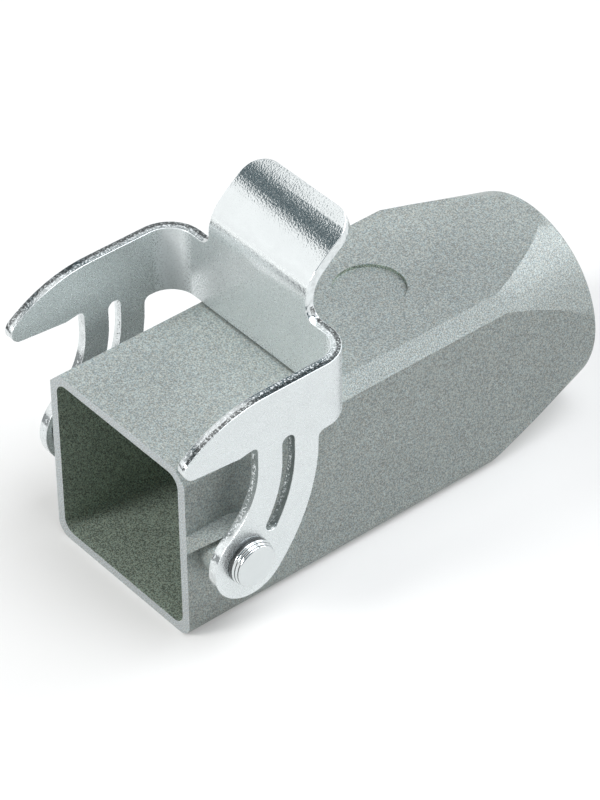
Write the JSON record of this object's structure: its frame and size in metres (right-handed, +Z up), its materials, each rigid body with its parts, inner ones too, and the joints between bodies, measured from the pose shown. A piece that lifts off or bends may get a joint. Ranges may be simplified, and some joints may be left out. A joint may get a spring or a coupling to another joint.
{
  "type": "connector housing",
  "caption": "Square die-cast connector housing with an open mating end, a threaded cable entry in a tapered end and a bent sheet locking lever that swings on side studs.",
  "frame": {"origin": "middle of the mating opening, in the plane of the mating face", "axes": "+Y along the body from the mating face to the cable entry, +Z up, +X to the right seen from the mating end"},
  "size_m": [0.0388, 0.0702, 0.0472],
  "materials": {
    "powder_coat": "fine speckled silver-grey powder coat",
    "zinc_plate": "satin bright zinc plating"
  },
  "bodies": {
    "housing": {"housing_body": "powder_coat", "left_pivot_stud": "zinc_plate", "right_pivot_stud": "zinc_plate"},
    "lever": {"locking_lever": "zinc_plate"}
  },
  "joints": [
    {"name": "lever_pivot", "type": "hinge", "parent": "housing", "child": "lever", "pos_m": [0, 0.0059, -0.0004], "axis": [1, 0, 0], "range_deg": [0, 90]}
  ]
}
